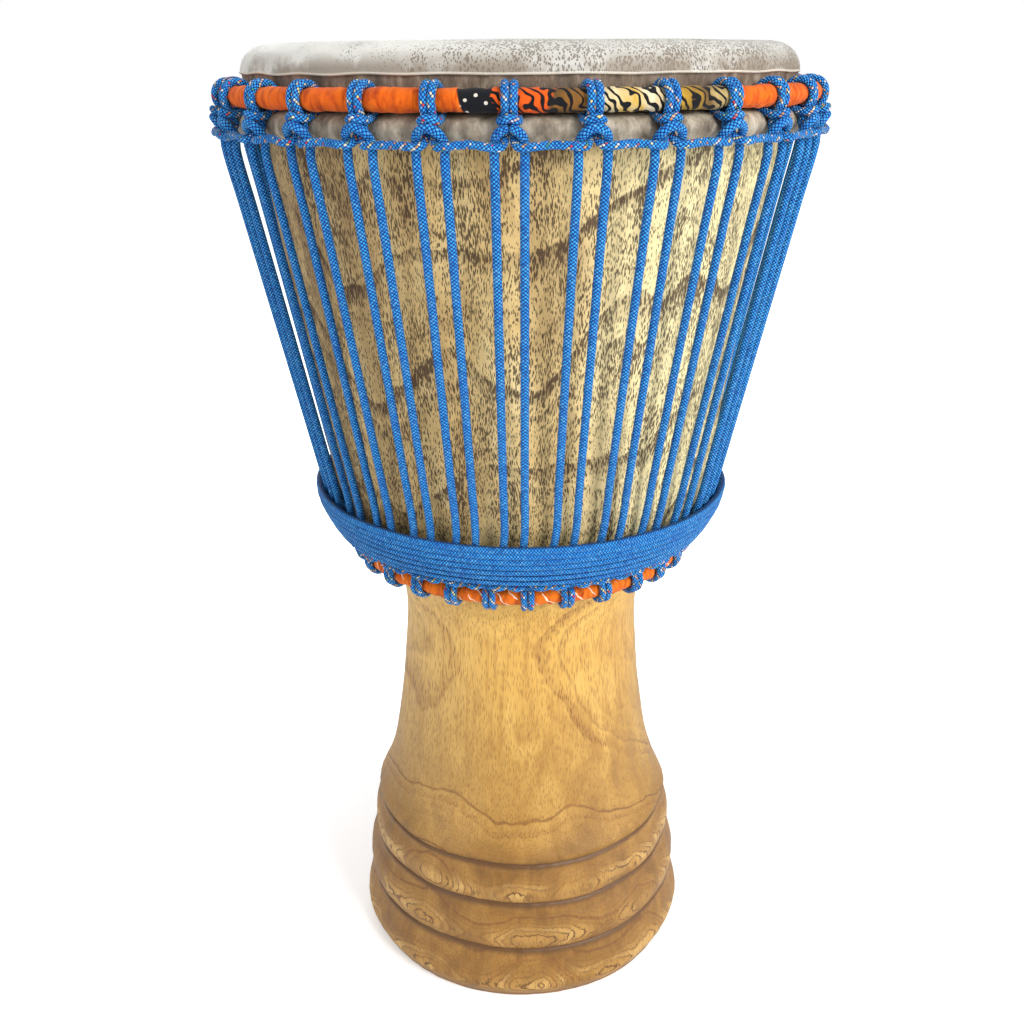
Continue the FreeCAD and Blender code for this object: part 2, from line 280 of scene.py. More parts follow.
def rope_object(name, path, radius, material, closed, columns=14, normals=None, flatten=(1.0, 1.0)):
    """A rope along a path, with rounded ends if open. flatten scales its section outwards and sideways."""
    tangents, carried = carried_frames(path, closed)
    normals = carried if normals is None else normals
    across = np.cross(tangents, normals)
    if closed:
        # The last ring of points lies on the first, but has the rope's full length
        path, normals, across = [np.vstack([rows, rows[:1]]) for rows in (path, normals, across)]
    sizes = np.full(len(path), float(radius))
    along = lengths_along(path)
    if closed:
        along = along * round(along[-1]) / along[-1]
    else:
        for k, share in enumerate((0.45, 0.8, 0.95)):
            sizes[k] = sizes[-1 - k] = radius * share
    angle = np.linspace(0, 2 * PI, columns, endpoint=False)
    out = np.cos(angle)[None, :, None] * normals[:, None, :] * flatten[0]
    out = out + np.sin(angle)[None, :, None] * across[:, None, :] * flatten[1]
    rings = path[:, None, :] + sizes[:, None, None] * out
    floats = {"along": along[:, None], "lean_x": np.cos(angle), "lean_y": np.sin(angle)}
    return tube_object(name, rings, floats, material, "bare" if closed else "capped")


# ---------- materials

def linear(colour):
    """Linear light from 0 to 255 sRGB."""
    shares = [c / 255.0 for c in colour]
    return tuple(s / 12.92 if s <= 0.04045 else ((s + 0.055) / 1.055) ** 2.4 for s in shares)


class Finish:
    """A procedural material, with short names for the nodes it uses. colour is its colour so far."""

    def __init__(self, name):
        self.material = bpy.data.materials.new(name)
        self.material.use_nodes = True
        self.tree = self.material.node_tree
        self.shader = self.tree.nodes["Principled BSDF"]
        self.colour = None

    def node(self, kind, inputs=(), **settings):
        made = self.tree.nodes.new(kind)
        for key, value in settings.items():
            setattr(made, key, value)
        for key, value in dict(inputs).items():
            self.feed(made.inputs[key], value)
        return made

    def feed(self, socket, value):
        if isinstance(value, bpy.types.NodeSocket):
            self.tree.links.new(value, socket)
        elif isinstance(value, tuple) and socket.type == "RGBA":
            socket.default_value = (*value, 1.0)
        else:
            socket.default_value = value

    def number(self, name):
        return self.node("ShaderNodeAttribute", attribute_name=name).outputs["Fac"]

    def math(self, operation, *values):
        return self.node("ShaderNodeMath", enumerate(values), operation=operation).outputs[0]

    def plus(self, a, b):
        return self.math("ADD", a, b)

    def minus(self, a, b):
        return self.math("SUBTRACT", a, b)

    def times(self, a, b):
        return self.math("MULTIPLY", a, b)

    def times_plus(self, a, b, c):
        return self.math("MULTIPLY_ADD", a, b, c)

    def vector(self, x, y, z=0.0):
        return self.node("ShaderNodeCombineXYZ", {"X": x, "Y": y, "Z": z}).outputs[0]

    def length(self, vector):
        return self.node("ShaderNodeVectorMath", {0: vector}, operation="LENGTH").outputs["Value"]

    def place_mm(self, upright=1.0):
        """The point's place on the object in millimetres, with its height times upright."""
        where = self.node("ShaderNodeTexCoord").outputs["Object"]
        scale = (1.0 / MM, 1.0 / MM, upright / MM)
        return self.node("ShaderNodeVectorMath", {0: where, 1: scale}, operation="MULTIPLY").outputs[0]

    def noise(self, vector, size, detail=2.0, rough=0.5, warp=0.0):
        """Noise whose features are about size across, from 0 to 1."""
        inputs = {"Vector": vector, "Scale": 1.0 / size, "Detail": detail}
        inputs.update({"Roughness": rough, "Distortion": warp})
        return self.node("ShaderNodeTexNoise", inputs).outputs["Fac"]

    def cells(self, vector, size):
        """Distance from the nearest of scattered points that are about size apart."""
        return self.node("ShaderNodeTexVoronoi", {"Vector": vector, "Scale": 1.0 / size}).outputs["Distance"]

    def luck(self, number):
        """A random share, from 0 to 1, for each whole number."""
        whole = self.math("FLOOR", number)
        return self.node("ShaderNodeTexWhiteNoise", {"W": whole}, noise_dimensions="1D").outputs["Value"]

    def ramp(self, value, *stops):
        """A colour ramp. Each stop is (place, colour), with the colour in 0 to 255 sRGB or one number."""
        made = self.node("ShaderNodeValToRGB", {"Fac": value})
        elements = made.color_ramp.elements
        while len(elements) < len(stops):
            elements.new(0.5)
        for element, (at, colour) in zip(elements, stops):
            element.position = at
            shade = linear(colour) if isinstance(colour, tuple) else (colour,) * 3
            element.color = (*shade, 1.0)
        return made.outputs["Color"]

    def step(self, value, low, high):
        """0 below low, 1 above high, smooth between. The other way round when high is below low."""
        made = self.node("ShaderNodeMapRange", {"Value": value}, interpolation_type="SMOOTHSTEP")
        ends = (low, high, 0.0, 1.0) if low < high else (high, low, 1.0, 0.0)
        for key, end in zip(("From Min", "From Max", "To Min", "To Max"), ends):
            made.inputs[key].default_value = end
        return made.outputs[0]

    def mix(self, share, a, b):
        """b over a, by a share. Each is a value of the material or a colour in 0 to 255 sRGB."""
        shades = [linear(value) if isinstance(value, tuple) else value for value in (a, b)]
        return self.node("ShaderNodeMix", {0: share, 6: shades[0], 7: shades[1]}, data_type="RGBA").outputs[2]

    def paint(self, share, shade, strength=1.0):
        """Lays a shade over the colour so far, by share times strength."""
        self.colour = self.mix(self.times(share, strength), self.colour, shade)

    def done(self, rough, height, depth_mm, sheen=0.0, shine=0.5):
        """Joins colour, roughness and bump to the shader, and gives the material."""
        bump = self.node("ShaderNodeBump", {"Height": height, "Distance": depth_mm * MM, "Strength": 1.0})
        inputs = {"Base Color": self.colour, "Roughness": rough, "Normal": bump.outputs[0]}
        inputs.update({"Sheen Weight": sheen, "Specular IOR Level": shine})
        for key, value in inputs.items():
            self.feed(self.shader.inputs[key], value)
        return self.material


def braid(finish, plaits=6.0, lay_mm=1.9):
    """(height, strand number one way, strand number the other way) of a braid of crossing strands."""
    angle = finish.math("ARCTAN2", finish.number("lean_y"), finish.number("lean_x"))
    turns = finish.times(angle, plaits / (2 * PI))
    along = finish.math("DIVIDE", finish.number("along"), lay_mm)
    ways = [finish.plus(turns, along), finish.minus(turns, along)]
    floors = [finish.math("FLOOR", way) for way in ways]
    ridges = [finish.math("ABSOLUTE", finish.math("SINE", finish.times(way, PI))) for way in ways]
    over = finish.math("PINGPONG", finish.plus(*floors), 1.0)
    first = finish.times(ridges[0], finish.math("POWER", ridges[1], 0.45))
    second = finish.times(ridges[1], finish.math("POWER", ridges[0], 0.45))
    height = finish.times_plus(finish.minus(first, second), over, second)
    return height, floors[0], floors[1]


def tracer_stitches(finish, height, strand, counter, chance, share):
    """Lays bright stitches over a share of the crossings of every third strand."""
    tracer = finish.math("COMPARE", finish.math("FLOORED_MODULO", strand, 3.0), 2.0, 0.1)
    which = finish.times(tracer, finish.step(chance, 1.0 - share, 1.04 - share))
    patch = finish.noise(finish.vector(finish.times(strand, 0.5), counter, 3.0), 2.6)
    hues = finish.ramp(patch, (0.36, (214, 60, 60)), (0.42, (236, 222, 120)), (0.5, (240, 240, 232)),
                       (0.57, (226, 150, 60)), (0.63, (60, 150, 110)))
    finish.paint(finish.step(finish.times(height, which), 0.3, 0.6), hues)


def rope_finish(name, flecks=0.0, shade_grooves=False):
    """Braided polyester cord, with a share of bright tracer stitches, painted shade between the strands and
    painted highlights on some strands. For cord in close turns, painted shade darkens the sides where the
    turns touch.
    """
    finish = Finish(name)
    height, strand, counter = braid(finish)
    cell = finish.vector(strand, counter)
    chance = finish.node("ShaderNodeTexWhiteNoise", {"Vector": cell}, noise_dimensions="2D").outputs["Value"]
    # Painted shade and highlight: the colour follows the braid's height, dark blue in the gaps between
    # strands and pale blue on their tops.
    finish.colour = finish.ramp(height, (0.16, (0, 20, 78)), (0.42, (0, 98, 200)), (0.8, (52, 174, 252)))
    # Painted highlights: pale glints on the tops of scattered strands.
    finish.paint(finish.times(finish.step(chance, 0.66, 0.95), height), (112, 196, 250), 0.6)
    finish.paint(finish.step(chance, 0.26, 0.02), (6, 56, 140), 0.5)
    if flecks:
        tracer_stitches(finish, height, strand, counter, chance, flecks)
    if shade_grooves:
        # Painted shade: the sides where neighbouring turns touch are darkened.
        side = finish.step(finish.math("ABSOLUTE", finish.number("lean_y")), 0.7, 0.97)
        finish.paint(side, (0, 16, 66), 0.72)
    worn = finish.noise(finish.place_mm(), 14.0, 3.0)
    finish.paint(finish.step(worn, 0.42, 0.75), (14, 84, 184), 0.3)
    rough = finish.ramp(height, (0.0, 0.8), (1.0, 0.46))
    return finish.done(rough, height, 0.65, sheen=0.04, shine=0.28)


def cotton(finish, arc, turn, thread_mm=0.55):
    """(creases, weave, bump height) of woven cotton, from the place round the ring and round its rod."""
    creases = finish.noise(finish.vector(arc, finish.times(turn, 0.35)), 3.4, 3.0, 0.55, 0.6)
    warp, weft = [finish.math("SINE", finish.times(way, 2 * PI / thread_mm)) for way in (arc, turn)]
    weave = finish.times_plus(finish.times(warp, weft), 0.5, 0.5)
    return creases, weave, finish.times_plus(weave, 0.12, creases)


def orange_cotton(name, bright=(232, 104, 12), crease_shade=(176, 58, 6)):
    """(finish, place round the ring, place round its rod, bump height) of plain dyed cotton."""
    finish = Finish(name)
    arc, turn = finish.number("arc"), finish.number("turn")
    creases, weave, height = cotton(finish, arc, turn)
    patches = finish.noise(finish.vector(arc, turn), 17.0, 2.0)
    # Painted shade and highlight: the colour darkens into the hollows of the creases and pales on their tops,
    # following the crease noise of the bump.
    finish.colour = finish.ramp(creases, (0.3, crease_shade), (0.55, bright), (0.8, (250, 124, 28)))
    finish.paint(finish.step(patches, 0.5, 0.8), (228, 92, 18))
    finish.paint(weave, (150, 50, 10), 0.1)
    return finish, arc, turn, height


def plain_cloth_finish():
    finish, _, _, height = orange_cotton("orange_cotton")
    return finish.done(0.85, height, 0.5, sheen=0.08, shine=0.2)


def bottom_cloth_finish():
    """The bottom ring's cloth: orange, with thin pale slanting lines."""
    finish, arc, turn, height = orange_cotton("striped_cotton", (236, 118, 26), (168, 62, 14))
    slant = finish.times_plus(turn, 0.8, arc)
    wander = finish.times(finish.noise(finish.vector(arc, turn), 9.0), 7.0)
    line = finish.math("PINGPONG", finish.plus(slant, wander), 4.6)
    some = finish.step(finish.noise(finish.vector(arc, turn, 5.0), 12.0), 0.47, 0.53)
    finish.paint(finish.step(line, 0.55, 0.25), (246, 232, 214), some)
    return finish.done(0.85, height, 0.5, sheen=0.08, shine=0.2)


def printed_cloth_finish():
    """Cotton with a bold generic print: black slashes over orange, ochre, brown and cream patches."""
    finish = Finish("printed_cotton")
    arc, turn, into = [finish.number(key) for key in ("arc", "turn", "into")]
    where = finish.vector(arc, turn)
    at = finish.times_plus(finish.noise(where, 11.0, 2.0), 0.22, finish.plus(into, -0.11))
    finish.colour = finish.ramp(at, (0.125, (14, 18, 28)), (0.13, (232, 92, 18)), (0.3, (232, 92, 18)),
                                (0.34, (92, 68, 36)), (0.42, (150, 100, 40)), (0.5, (232, 218, 182)),
                                (0.6, (206, 166, 64)), (0.67, (232, 218, 184)), (0.78, (190, 148, 48)),
                                (0.9, (112, 84, 44)), (1.0, (206, 182, 122)))
    # Slashes that thicken and thin
    slant = finish.times_plus(turn, 0.75, arc)
    bend = finish.times(finish.noise(where, 8.0, 1.0, 0.4), 17.0)
    slash = finish.math("PINGPONG", finish.plus(slant, bend), 3.0)
    fat = finish.times_plus(finish.noise(where, 6.0, 1.0), 1.9, 0.35)
    finish.paint(finish.step(finish.minus(slash, fat), 0.16, -0.16), (17, 17, 20))
    # Small pale dots on the black end, and an orange hem beside it
    dots = finish.cells(finish.vector(arc, turn, 2.0), 4.2)
    finish.paint(finish.step(dots, 0.26, 0.2), (222, 214, 200), finish.step(at, 0.122, 0.112))
    hem = finish.step(finish.times_plus(turn, 0.0016, into), 0.014, 0.008)
    finish.paint(hem, (242, 112, 24))
    _, weave, height = cotton(finish, arc, turn)
    finish.paint(weave, (40, 30, 24), 0.08)
    return finish.done(0.82, height, 0.45, sheen=0.08, shine=0.2)


class Wood(Finish):
    """One log of pale hardwood: tan and open-pored on the bowl, golden on the stem, browner on the foot."""

    def __init__(self, name):
        super().__init__(name)
        self.x, self.y, self.z = self.node("ShaderNodeSeparateXYZ", {"Vector": self.place_mm()}).outputs
        self.slow = self.place_mm(0.4)
        self.on_bowl = self.step(self.z, 300.0, 330.0)
        self.off_bowl = self.minus(1.0, self.on_bowl)
        self.on_foot = self.step(self.z, 138.0, 92.0)
        self.mottle = self.noise(self.place_mm(0.22), 21.0, 4.0, 0.6)
        self.blotch = self.noise(self.place_mm(0.6), 26.0, 4.0, 0.55, 0.8)
        self.from_pith = self.growth()
        self.late = self.late_wood()

    def growth(self):
        """Distance from a pith a little off the axis, wandering as growth rings do."""
        radius = self.length(self.vector(self.plus(self.x, -5.0), self.plus(self.y, -11.0)))
        wander = self.times(self.noise(self.slow, 60.0, 0.0), 15.0)
        ripple = self.times(self.noise(self.slow, 17.0, 1.0, 0.4), 2.2)
        return self.plus(radius, self.plus(wander, ripple))

    def late_wood(self):
        """Each year's ring darkens outwards and ends softly, and some years more than others."""
        year = self.math("DIVIDE", self.from_pith, 2.7)
        ring = self.math("FRACT", year)
        band = self.times(self.step(ring, 0.05, 0.85), self.step(ring, 1.0, 0.86))
        patches = self.step(self.noise(self.place_mm(), 60.0, 1.0), 0.35, 0.65)
        strong = self.step(self.luck(year), 0.3, 0.95)
        strong = self.times(strong, self.times_plus(patches, 0.6, 0.4))
        return self.times(band, self.times_plus(strong, 0.85, 0.15))

    def bowl_ground(self):
        """Tan, with painted shade greying the left side and a painted highlight creaming the right side."""
        tans = ((0.3, (180, 144, 88)), (0.5, (230, 196, 130)), (0.72, (250, 224, 162)))
        self.colour = self.ramp(self.mottle, *tans)
        # Painted shade on the left side, then a painted highlight on the right side.
        self.paint(self.step(self.x, -20.0, -150.0), (150, 126, 98), 0.5)
        self.paint(self.step(self.x, 0.0, 85.0), (255, 240, 184), 0.82)
        return self.colour

    def stem_ground(self):
        """Blotched gold, browner towards the foot, with painted light on the left side."""
        golds = ((0.3, (202, 153, 72)), (0.52, (221, 174, 85)), (0.75, (236, 192, 104)))
        browns = ((0.3, (118, 80, 28)), (0.52, (151, 108, 45)), (0.75, (181, 136, 64)))
        self.colour = self.ramp(self.blotch, *golds)
        foot = self.ramp(self.blotch, *browns)
        # Painted light: the stem's left side is painted a paler gold.
        self.paint(self.step(self.x, -10.0, -75.0), (236, 198, 124), 0.6)
        self.paint(self.step(self.z, 262.0, 128.0), foot, 0.62)
        self.paint(self.on_foot, foot)
        return self.colour

    def dark_years(self, apart=16.0):
        """A few years left a crisp dark line on the stem and the foot."""
        every = self.math("FRACT", self.math("DIVIDE", self.plus(self.from_pith, 4.4), apart))
        beside = self.times(self.math("ABSOLUTE", self.minus(every, 0.5)), apart)
        wavering = self.times_plus(self.noise(self.place_mm(), 5.0, 2.0), 0.5, -0.25)
        line = self.step(self.plus(beside, wavering), 0.45, 0.1)
        strength = self.times_plus(self.step(self.z, 190.0, 120.0), 0.5, 0.22)
        self.paint(self.times(line, strength), (120, 76, 30), self.off_bowl)

    def contours(self):
        """Close jagged lines where the foot's crests cut along the rings. The crests are paler: partly a
        painted highlight, and partly pale eyes of figure in some years.
        """
        jagged = self.times(self.noise(self.place_mm(0.5), 2.2, 2.0, 0.6), 0.85)
        year = self.math("DIVIDE", self.plus(self.from_pith, jagged), 0.95)
        ring = self.math("FRACT", year)
        patch = self.step(self.noise(self.place_mm(0.7), 30.0, 1.0, 0.4), 0.42, 0.5)
        pale_crests = self.times(self.number("crest"), self.times_plus(patch, 0.75, 0.25))
        # Painted highlight: the crests of the foot's bands are painted paler.
        self.paint(pale_crests, (226, 178, 98), 0.38)
        lucky = self.step(self.luck(year), 0.45, 0.6)
        self.paint(self.times(lucky, pale_crests), (240, 198, 122), 0.4)
        line = self.times(self.step(ring, 0.66, 0.84), self.step(ring, 1.0, 0.94))
        line = self.times(line, self.times(self.on_foot, self.times_plus(pale_crests, 0.75, 0.16)))
        self.paint(line, (88, 54, 20))
        return line

    def bowl_pores(self):
        """Short dark dashes that run up the log, crowding in the late wood."""
        crowd = self.noise(self.place_mm(0.3), 13.0, 2.0)
        size = self.times_plus(self.late, 0.2, self.times_plus(crowd, 0.62, 0.02))
        lean = self.times(self.noise(self.slow, 24.0, 0.0), 9.0)
        dashes = []
        for start, width in ((0.0, 0.95), (40.0, 0.7)):
            side = self.plus(self.plus(self.x, lean), start)
            strand = self.vector(side, self.y, self.times(self.z, 0.14))
            dashes.append(self.step(self.minus(self.cells(strand, width), size), 0.03, -0.07))
        pores = self.times(self.math("MAXIMUM", *dashes), self.on_bowl)
        self.paint(pores, (68, 42, 22), 0.88)
        return pores

    def stem_pores(self):
        """Finer pores, strongest in the late wood."""
        tiny = self.cells(self.place_mm(0.11), 0.95)
        pores = self.times(self.step(tiny, 0.46, 0.24), self.off_bowl)
        pores = self.times(pores, self.times_plus(self.late, 0.7, 0.46))
        self.paint(pores, (128, 80, 28), 0.9)
        return pores

    def grain(self):
        """Soft stripes on the stem, and fine straight grain all over."""
        stripes = self.step(self.noise(self.place_mm(0.04), 3.2, 2.0), 0.48, 0.72)
        self.paint(self.times(stripes, self.off_bowl), (168, 116, 48), 0.42)
        grain = self.noise(self.place_mm(0.035), 0.9, 3.0, 0.6)
        self.paint(self.step(grain, 0.48, 0.78), (112, 72, 30), 0.3)
        return grain


def wood_finish():
    wood = Wood("carved_hardwood")
    wood.colour = wood.mix(wood.on_bowl, wood.stem_ground(), wood.bowl_ground())
    wood.paint(wood.late, wood.mix(wood.on_bowl, (146, 96, 38), (96, 64, 36)), 0.5)
    wood.dark_years()
    contours, pores, fine_pores = wood.contours(), wood.bowl_pores(), wood.stem_pores()
    height = wood.times(wood.grain(), 0.3)
    for dent, depth in ((contours, 0.4), (pores, 0.8), (fine_pores, 0.25)):
        height = wood.times_plus(dent, -depth, height)
    # Painted shade darkens the coves under the carved lips
    wood.paint(wood.number("lip"), (92, 58, 26), 0.8)
    golden = wood.ramp(wood.blotch, (0.3, 0.42), (0.8, 0.52))
    rough = wood.mix(wood.on_bowl, golden, wood.ramp(wood.mottle, (0.3, 0.68), (0.8, 0.6)))
    return wood.done(rough, height, 0.35)


def face_colour(finish, down, tall, cloud):
    """(colour, cut hair) of the playing face, worn darker and more speckled to the right."""
    across = finish.node("ShaderNodeSeparateXYZ", {"Vector": finish.place_mm()}).outputs[0]
    worn_side = finish.step(across, -120.0, 20.0)
    whites = ((0.3, (220, 219, 212)), (0.5, (238, 237, 231)), (0.75, (246, 245, 239)))
    finish.colour = finish.ramp(cloud, *whites)
    finish.paint(worn_side, (184, 181, 173), 0.62)
    crowd = finish.noise(finish.place_mm(), 16.0, 3.0, 0.6)
    size = finish.times_plus(worn_side, 0.3, finish.times_plus(crowd, 0.95, -0.34))
    hair = finish.step(finish.minus(finish.cells(tall, 1.05), size), 0.03, -0.05)
    near_edge = finish.step(down, -24.0, -6.0)
    finish.paint(hair, (104, 92, 80), finish.times_plus(near_edge, 0.4, 0.4))
    # A grey-brown bloom just above the crease
    bloom = finish.times(finish.step(down, -15.0, -2.0), finish.step(cloud, 0.34, 0.52))
    finish.paint(bloom, (126, 110, 90), 0.8)
    return finish.colour, hair


def collar_colour(finish, down, tall, strands):
    """The haired collar, and the paler pillows of skin between the hitches below it."""
    cloud = finish.noise(tall, 8.0, 4.0, 0.65)
    finish.colour = finish.ramp(cloud, (0.28, (92, 80, 66)), (0.46, (150, 138, 120)), (0.62, (194, 182, 162)),
                                (0.8, (224, 216, 200)))
    finish.paint(finish.step(strands, 0.5, 0.75), (120, 104, 86), 0.3)
    pillow = finish.colour
    finish.colour = finish.ramp(cloud, (0.3, (84, 70, 58)), (0.52, (130, 112, 94)), (0.72, (176, 160, 140)))
    finish.paint(finish.step(strands, 0.45, 0.7), (92, 78, 64), 0.6)
    finish.paint(finish.step(down, 17.0, 23.0), pillow)
    return finish.colour


def skin_finish():
    """Goatskin: near white and speckled with cut hair on top, darker and haired below the crease."""
    finish = Finish("goatskin")
    down = finish.number("down")
    tall = finish.place_mm(0.45)
    cloud = finish.noise(finish.place_mm(), 34.0, 4.0, 0.6)
    strands = finish.noise(finish.place_mm(0.13), 0.7, 3.0, 0.7)
    face, hair = face_colour(finish, down, tall, cloud)
    finish.colour = finish.mix(finish.step(down, 0.1, 0.9), face, collar_colour(finish, down, tall, strands))
    crease = finish.times(finish.step(down, -0.9, -0.3), finish.step(down, 0.9, 0.3))
    finish.paint(crease, (234, 226, 210), 0.7)
    height = finish.times_plus(cloud, 0.8, finish.times(strands, 0.35))
    height = finish.times_plus(hair, -0.3, height)
    finish.shader.inputs["Subsurface Weight"].default_value = 0.08
    finish.shader.inputs["Subsurface Radius"].default_value = (0.004, 0.003, 0.002)
    return finish.done(finish.ramp(cloud, (0.3, 0.6), (0.8, 0.42)), height, 0.3, shine=0.4)


def steel_finish():
    """Welded mild-steel rod with a little surface rust."""
    finish = Finish("steel_rod")
    rust = finish.noise(finish.place_mm(), 12.0, 4.0, 0.6)
    finish.colour = finish.ramp(rust, (0.4, (150, 150, 148)), (0.6, (122, 116, 108)), (0.7, (122, 78, 50)))
    finish.feed(finish.shader.inputs["Metallic"], finish.ramp(rust, (0.5, 0.9), (0.68, 0.2)))
    scratch = finish.noise(finish.place_mm(6.0), 1.4, 3.0)
    return finish.done(finish.ramp(rust, (0.4, 0.4), (0.7, 0.8)), scratch, 0.1)


def floor_finish():
    """A pale studio floor. To the camera it fades into the white backdrop away from the drum."""
    finish = Finish("pale_floor")
    speck = finish.noise(finish.place_mm(), 260.0, 3.0)
    finish.colour = finish.ramp(speck, (0.3, (246, 246, 246)), (0.7, (250, 250, 250)))
    finish.done(0.9, speck, 0.05, shine=0.1)
    camera_ray = finish.node("ShaderNodeLightPath").outputs["Is Camera Ray"]
    fade = finish.times(finish.step(finish.length(finish.place_mm()), 110.0, 620.0), camera_ray)
    lift = finish.node("ShaderNodeEmission", {"Strength": finish.times_plus(fade, 0.65, 0.35)})
    plain = finish.shader.outputs[0]
    both = finish.node("ShaderNodeAddShader", {0: plain, 1: lift.outputs[0]})
    seen = finish.node("ShaderNodeMixShader", {0: camera_ray, 1: plain, 2: both.outputs[0]})
    finish.feed(finish.tree.nodes["Material Output"].inputs["Surface"], seen.outputs[0])
    return finish.material


# ---------- the shell

def spread(points, count):
    """Evenly spaced (radius, height) points along a smooth curve."""
    dense = flowing(points, False, 0.3, 0.3)
    length = lengths_along(dense)
    return points_at(dense, length, np.linspace(0, length[-1], count))


def circle_arc(centre, radius, first, last, count):
    angle = np.radians(np.linspace(first, last, count))
    return np.stack([centre[0] + radius * np.cos(angle), centre[1] + radius * np.sin(angle)], -1)


def foot_band(lip, bulge, low_lip):
    """(cove under one lip, bulging band down to the next) of the carved foot."""
    r, z = lip
    cove = [(r, z), (r - 1.6, z - 0.9), (r - 2.6, z - 2.0), (r - 2.1, z - 3.4), (r - 1.2, z - 4.4)]
    cove = spread(cove, 9)[1:]
    valley = (r - 0.3, z - 8.5)
    bead_z = low_lip[1] + 0.42 * (bulge[1] - low_lip[1]) + 1.5
    shoulder = ((valley[0] + bulge[0]) / 2 + 0.6, bead_z + 0.55 * (valley[1] - bead_z))
    return cove, spread([cove[-1], valley, shoulder, (bulge[0] + 0.3, bead_z), low_lip], 21)[1:]


def band_marks(cove, band):
    """(lip, crest) share of each point: the cove is all lip, and the band swells to its crest. The wood
    paints shade into the coves by the lip share, and pales the crests by the crest share.
    """
    marks = np.zeros((len(cove) + len(band), 2))
    marks[:len(cove), 0] = 1.0
    marks[len(cove), 0] = 0.5
    marks[len(cove):, 1] = np.exp(-((np.linspace(0, 1, len(band)) - 0.72) / 0.24) ** 2)
    return marks


def shell_profile():
    """(outline points, (lip, crest) share of each) from the peak down, under the foot and up the bore."""
    edge = circle_arc((HEAD_RADIUS - EDGE_ROUND, CREASE_Z), EDGE_ROUND - 1.25, 90.0, 0.0, 8)
    bowl = np.linspace((160.6, CREASE_Z - 2), (125.0, 362.0), 60)
    neck = spread([(125.0, 362.0), (120.8, 345.0), (112.5, 330.5), (100.0, 316.6), (91.8, 305.5),
                   (87.5, 295.0), (84.0, 282.0), (81.2, 265.0), (80.9, 248.0), (82.4, 228.0),
                   (86.5, 186.0), (93.8, 144.0), (100.2, 124.0), (107.5, 107.5)], 78)[1:]
    parts = [edge, bowl, neck]
    marks = [np.zeros((len(edge) + len(bowl) + len(neck), 2))]
    # (radius and height of each band's bulge, and of its lower lip)
    bands = (((110.8, 90.0), (111.0, 77.6)), ((116.3, 58.0), (115.7, 42.2)), ((120.3, 18.0), (117.0, 3.0)))
    for bulge, low_lip in bands:
        cove, band = foot_band(parts[-1][-1], bulge, low_lip)
        parts += [cove, band]
        marks.append(band_marks(cove, band))
    marks[-1][-1] = 0.0
    under = np.array([(116.1, 0.9), (114.0, 0.0), (105.0, 0.0), (96.5, 0.0), (95.0, 1.0)])
    bore = spread([(94.6, 3.0), (87.0, 70.0), (70.0, 160.0), (57.0, 245.0), (55.0, 292.0), (70.0, 333.0),
                   (99.0, 370.0), (114.0, 430.0), (128.0, 520.0), (139.2, CREASE_Z)], 34)
    inner = np.array([(141.3, CREASE_Z + 8.0), (144.0, CREASE_Z + 12.5)])
    parts += [under, bore, inner]
    marks.append(np.zeros((len(under) + len(bore) + len(inner), 2)))
    return np.vstack(parts), np.vstack(marks)


def shell():
    """The carved shell: turned outline with the slight unevenness of hand carving."""
    outline, marks = shell_profile()
    azimuth = np.linspace(0, 360, 540, endpoint=False)
    angle, r = np.meshgrid(azimuth, outline[:, 0])
    z = np.repeat(outline[:, 1:], len(azimuth), 1)
    seat = np.clip((CREASE_Z - 16.0 - z) / 12.0, 0, 1)
    foot = np.clip((125.0 - z) / 30.0, 0, 1) * np.clip(z / 12.0, 0, 1)
    r = r + seat * (0.28 * ring_noise(angle, z, 9, 60.0, 3) + 0.10 * ring_noise(angle, z, 70, 14.0, 4))
    r = r + foot * 0.35 * ring_noise(angle, z, 14, 40.0, 5)
    z = z + foot * 0.55 * ring_noise(angle, z, 5, 90.0, 6)
    # lip carries painted shade for the coves, and crest a painted highlight and figure on the crests.
    floats = {"lip": marks[:, :1], "crest": marks[:, 1:]}
    piece = tube_object("carved_shell", on_drum(angle, r, z), floats, wood_finish(), "joined", True)
    attach(piece, "shell", "shell_wood", "shell")


# ---------- the skin

def skin_profile():
    """(radius, height) points from the centre of the head to the trimmed lap round the flesh ring."""
    centre = (HEAD_RADIUS - EDGE_ROUND, CREASE_Z)
    flat = [(r, HEIGHT) for r in (0.4, *range(12, 111, 14), 122, 132, 140)]
    edge = circle_arc(centre, EDGE_ROUND, 90.0, 4.0, 22)
    crease = np.array([(HEAD_RADIUS + 0.35, CREASE_Z + 0.6), (HEAD_RADIUS + 0.45, CREASE_Z + 0.1),
                       (HEAD_RADIUS + 0.2, CREASE_Z - 0.35), (HEAD_RADIUS - 0.55, CREASE_Z - 0.8)])
    collar = np.linspace((HEAD_RADIUS - 0.85, CREASE_Z - 1.5), (HEAD_RADIUS - 1.6, CROWN_Z - 1.0), 14)
    return np.array(flat), edge, crease, collar


def skin_lap(azimuth, degrees):
    """(radius, height) of the skin's lap at each azimuth, some degrees round the flesh ring's rod."""
    angle = math.radians(degrees)
    facing = 0.5 + 0.5 * math.cos(angle)
    pillow = 1.0 - np.exp(-(hitch_gap(azimuth, TOP_AZIMUTHS) / 2.1) ** 2)
    size = WRAP + facing * (1.25 * pillow + 0.28 * ring_noise(azimuth, 0, 60, 1.0, 11))
    size = size + facing * 0.22 * ring_noise(azimuth, degrees, 110, 60.0, 12)
    height = FLESH_Z + size * math.sin(angle) * (1.0 - 0.1 * facing)
    return np.stack([FLESH_RADIUS + size * math.cos(angle), height], -1)


